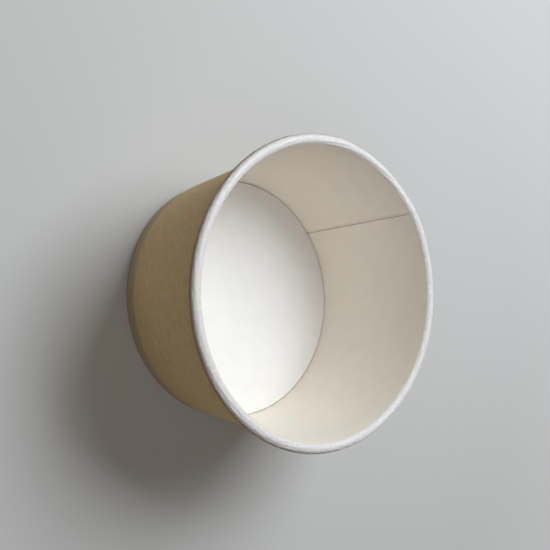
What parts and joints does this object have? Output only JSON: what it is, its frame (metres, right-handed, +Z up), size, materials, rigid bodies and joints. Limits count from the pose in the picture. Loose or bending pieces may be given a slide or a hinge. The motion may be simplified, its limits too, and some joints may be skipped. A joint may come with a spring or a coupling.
{
  "type": "paper soup container",
  "caption": "Round tapered paperboard food tub with an outward rolled rim, a lapped side seam and a recessed base disc held in a folded heel.",
  "frame": {"origin": "centre of the ring that the container stands on", "axes": "+Z up along the container's axis, towards its open mouth; the side seam's inner cut edge is 124.6 degrees from +X towards +Y"},
  "size_m": [0.115, 0.115, 0.0621],
  "materials": {
    "kraft_board": "uncoated kraft face outside, white coated face inside",
    "white_board": "white coated face, soft sheen"
  },
  "bodies": {
    "root": {"side_wall": "kraft_board", "base_disc": "white_board"}
  },
  "joints": []
}
